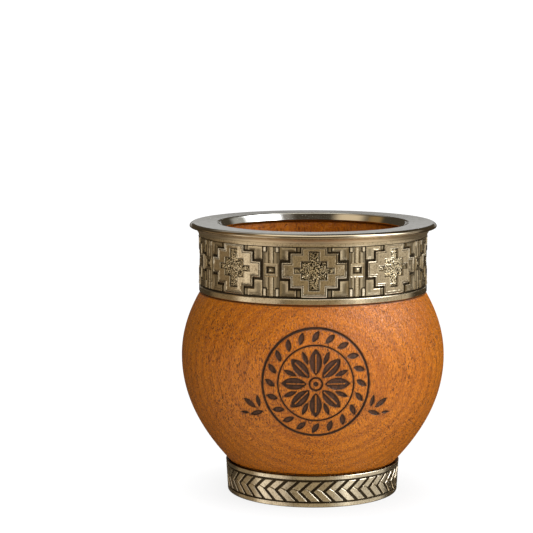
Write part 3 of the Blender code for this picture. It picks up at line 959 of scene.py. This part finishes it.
def rim_material():
    """Polished steel on the flat top and the inside, champagne on the lip and satin on the flare."""
    n = Look("rim_steel")
    coordinates = n.add("TexCoord").outputs["Object"]
    parts = n.add("SeparateXYZ", Vector=coordinates)
    squares = n.math("ADD", n.math("MULTIPLY", parts.outputs[0], parts.outputs[0]),
                     n.math("MULTIPLY", parts.outputs[1], parts.outputs[1]))
    radius = n.math("SQRT", squares)
    outer = n.between(radius, 0.0429, 0.0435)
    steel = (0.66, 0.655, 0.63)
    lip_champagne = (0.55, 0.455, 0.33)
    flare_champagne = (0.73, 0.61, 0.45)
    cloud = n.between(n.noise(220.0, 4.0), 0.3, 0.7)
    colour = n.mix(outer, steel, lip_champagne)
    colour = n.mix(n.attribute("satin"), colour, flare_champagne)
    colour = n.mix(n.math("MULTIPLY", cloud, 0.07), colour, (0.35, 0.28, 0.2))
    n.put(n.shader, "Base Color", colour)
    n.shader.inputs["Metallic"].default_value = 1.0
    polish = n.between(n.noise(500.0, 3.0), 0.3, 0.7, 0.09, 0.12)
    n.put(n.shader, "Roughness", n.math("ADD", polish, n.math("MULTIPLY", n.attribute("satin"), 0.25)))
    # Fine lines that run round the axis, as from a lathe
    section = n.add("CombineXYZ", X=radius, Z=parts.outputs[2]).outputs["Vector"]
    lines = n.add("TexNoise", Vector=section, Scale=4000.0, Detail=2.0).outputs["Fac"]
    n.put(n.shader, "Normal", n.bump(lines, 0.05, 0.00003))
    return n.material


def antique_material(name, colour, roughness):
    """Champagne metal, bright on its raised edges from wear and a painted highlight, with painted shade
    that makes it duller lower down and dark in its sunken places.
    """
    n = Look(name)
    cloud = n.between(n.noise(350.0, 4.0), 0.3, 0.7)
    face = n.mix(cloud, tuple(0.86 * part for part in colour), colour)
    fine = n.between(n.noise(2200.0, 2.0), 0.5, 0.66)
    face = n.mix(n.math("MULTIPLY", fine, 0.52), face, (0.2, 0.15, 0.085))
    depth = n.attribute("depth")
    wear_highlight = n.attribute("wear_highlight")
    # depth carries the painted shade of the sunken places: duller partway down, dark at the bottom
    middle = n.between(depth, 0.08, 0.4)
    sunk_shade = n.between(depth, 0.45, 0.95)
    face = n.mix(middle, face, (0.5, 0.42, 0.29))
    face = n.mix(sunk_shade, face, (0.055, 0.042, 0.027))
    speck = n.between(n.noise(2800.0, 1.0), 0.49, 0.53)
    face = n.mix(n.attribute("rough"), face, n.mix(speck, (0.02, 0.014, 0.008), (1.0, 0.86, 0.6)))
    # Wear and painted highlight on the raised edges, which are half diffuse so that the suns light them
    face = n.mix(wear_highlight, face, (0.95, 0.86, 0.68))
    n.put(n.shader, "Base Color", face)
    n.put(n.shader, "Metallic", n.math("SUBTRACT", 1.0, n.math("MULTIPLY", wear_highlight, 0.5)))
    soft = n.math("MAXIMUM", n.math("MAXIMUM", middle, n.attribute("satin")), wear_highlight)
    n.put(n.shader, "Roughness", n.math("ADD", n.math("MULTIPLY", soft, 0.2), roughness))
    cast = n.math("MULTIPLY", n.noise(1500.0, 2.0), n.math("ADD", middle, 0.15))
    lines = n.math("MULTIPLY", n.noise(4500.0, 2.0, (0.02, 0.02, 1.0)), 0.1)
    n.put(n.shader, "Normal", n.bump(n.math("ADD", cast, lines), 0.6, 0.0001))
    return n.material


def floor_material():
    """A glowing white floor that is a little darker right beside the foot."""
    n = Look("floor_white")
    n.put(n.shader, "Base Color", (FLOOR_SHADE, FLOOR_SHADE, FLOOR_SHADE))
    n.shader.inputs["Roughness"].default_value = 0.9
    n.shader.inputs["Specular IOR Level"].default_value = 0.0
    n.shader.inputs["Emission Color"].default_value = (1.0, 1.0, 1.0, 1.0)
    near = n.add("AmbientOcclusion", {"samples": 16}, Distance=CONTACT_REACH).outputs["AO"]
    glow = n.between(near, 0.0, 1.0, FLOOR_GLOW * (1.0 - CONTACT_SHADE), FLOOR_GLOW)
    n.put(n.shader, "Emission Strength", glow)
    return n.material


# Studio

def make_floor():
    """A white floor. The metal reflects the studio and not the floor's glow."""
    mesh = bpy.data.meshes.new("floor")
    half = FLOOR_HALF_WIDTH
    corners = [(-half, -half, 0.0), (half, -half, 0.0), (half, half, 0.0), (-half, half, 0.0)]
    mesh.from_pydata(corners, [], [(0, 1, 2, 3)])
    floor = bpy.data.objects.new("floor", mesh)
    bpy.context.scene.collection.objects.link(floor)
    mesh.materials.append(floor_material())
    floor.visible_glossy = False
    floor.visible_diffuse = False


def make_suns():
    """Soft suns that light the wood and that no metal mirrors."""
    for name, azimuth, elevation, breadth, strength in SUNS:
        light = bpy.data.lights.new(name, "SUN")
        light.energy = strength
        light.angle = math.radians(breadth)
        lamp = bpy.data.objects.new(name, light)
        lamp.rotation_euler = (0.0, math.radians(90.0 - elevation), math.radians(azimuth))
        lamp.visible_glossy = False
        bpy.context.scene.collection.objects.link(lamp)


class Sky(Nodes):
    """The studio round the cup, by direction: one for mirrored rays and one for soft light."""

    def __init__(self, tree):
        super().__init__(tree)
        self.direction = self.add("TexCoord").outputs["Generated"]
        upright = self.add("SeparateXYZ", Vector=self.direction).outputs["Z"]
        self.elevation = self.math("ARCSINE", upright)

    def toward(self, direction):
        """How far a ray's direction points along another one."""
        node = self.combined("VectorMath", {"operation": "DOT_PRODUCT"}, self.direction, direction)
        return node.outputs["Value"]

    def window(self, value, half, soft):
        """1 where the value is within half of 0, falling to 0 over soft on each side. In radians."""
        limits = {"From_Min": half + soft / 2, "From_Max": half - soft / 2}
        settings = {"interpolation_type": "SMOOTHSTEP", "clamp": True}
        distance = self.math("ABSOLUTE", value)
        return self.add("MapRange", settings, Value=distance, **limits).outputs["Result"]

    def panel(self, azimuth, elevation, half_width, half_height, soft):
        """How much of a panel of light lies in a direction. In degrees, azimuth from +X to +Y."""
        turn = math.radians(azimuth)
        ahead = self.toward((math.cos(turn), math.sin(turn), 0.0))
        side = self.toward((-math.sin(turn), math.cos(turn), 0.0))
        soft = math.radians(soft)
        across = self.window(self.math("ARCTAN2", side, ahead), math.radians(half_width), soft)
        rise = self.math("SUBTRACT", self.elevation, math.radians(elevation))
        upright = self.window(rise, math.radians(half_height), soft)
        return self.math("MULTIPLY", across, upright)

    def light(self, dark, panels):
        """A background of panels over an even surround."""
        total = dark
        for *place, colour in panels:
            part = self.combined("VectorMath", {"operation": "SCALE"}, colour)
            self.put(part, "Scale", self.panel(*place))
            total = self.combined("VectorMath", {"operation": "ADD"}, total, part.outputs[0]).outputs[0]
        return self.add("Background", Color=total).outputs[0]


def make_world():
    """Plain white to the camera, the mirrored studio to glossy rays and soft fill to the rest."""
    world = bpy.data.worlds.new("studio")
    bpy.context.scene.world = world
    world.use_nodes = True
    world.cycles.sampling_method = "NONE"
    tree = world.node_tree
    tree.nodes.clear()
    sky = Sky(tree)
    path = sky.add("LightPath").outputs
    seen = sky.add("Background", Color=(1.0, 1.0, 1.0), Strength=BACKDROP_GLOW).outputs[0]
    soft = sky.light(FILL_DARK, FILLS)
    mirrored = sky.light(MIRROR_DARK, PANELS)
    unseen = sky.combined("MixShader", {}, path["Is Glossy Ray"], soft, mirrored).outputs[0]
    shown = sky.combined("MixShader", {}, path["Is Camera Ray"], unseen, seen).outputs[0]
    sky.add("OutputWorld", Surface=shown)


def make_camera():
    """The photograph's view: a long lens, a little above the cup's mouth."""
    lens = bpy.data.cameras.new("camera")
    lens.lens = FOCAL_LENGTH
    lens.sensor_width = SENSOR_WIDTH
    lens.clip_start = 0.01
    camera = bpy.data.objects.new("camera", lens)
    camera.location = [value * MM for value in CAMERA_PLACE]
    camera.rotation_euler = (math.radians(90.0 - CAMERA_PITCH), 0.0, 0.0)
    bpy.context.scene.collection.objects.link(camera)
    bpy.context.scene.camera = camera


def dress(piece, node, material):
    """Put a finer piece in a node's place."""
    piece.data.materials.append(material)
    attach(piece, "root")
    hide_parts(node)


make_camera()
make_world()
make_floor()
make_suns()
bpy.context.scene.view_settings.view_transform = "Standard"

dress(make_wood(), "wood_body", wood_material())
dress(make_rim(), "rim_ring", rim_material())
dress(make_collar(), "collar_band", antique_material("collar_antique", *COLLAR_METAL))
dress(make_foot(), "foot_ring", antique_material("foot_antique", *FOOT_METAL))
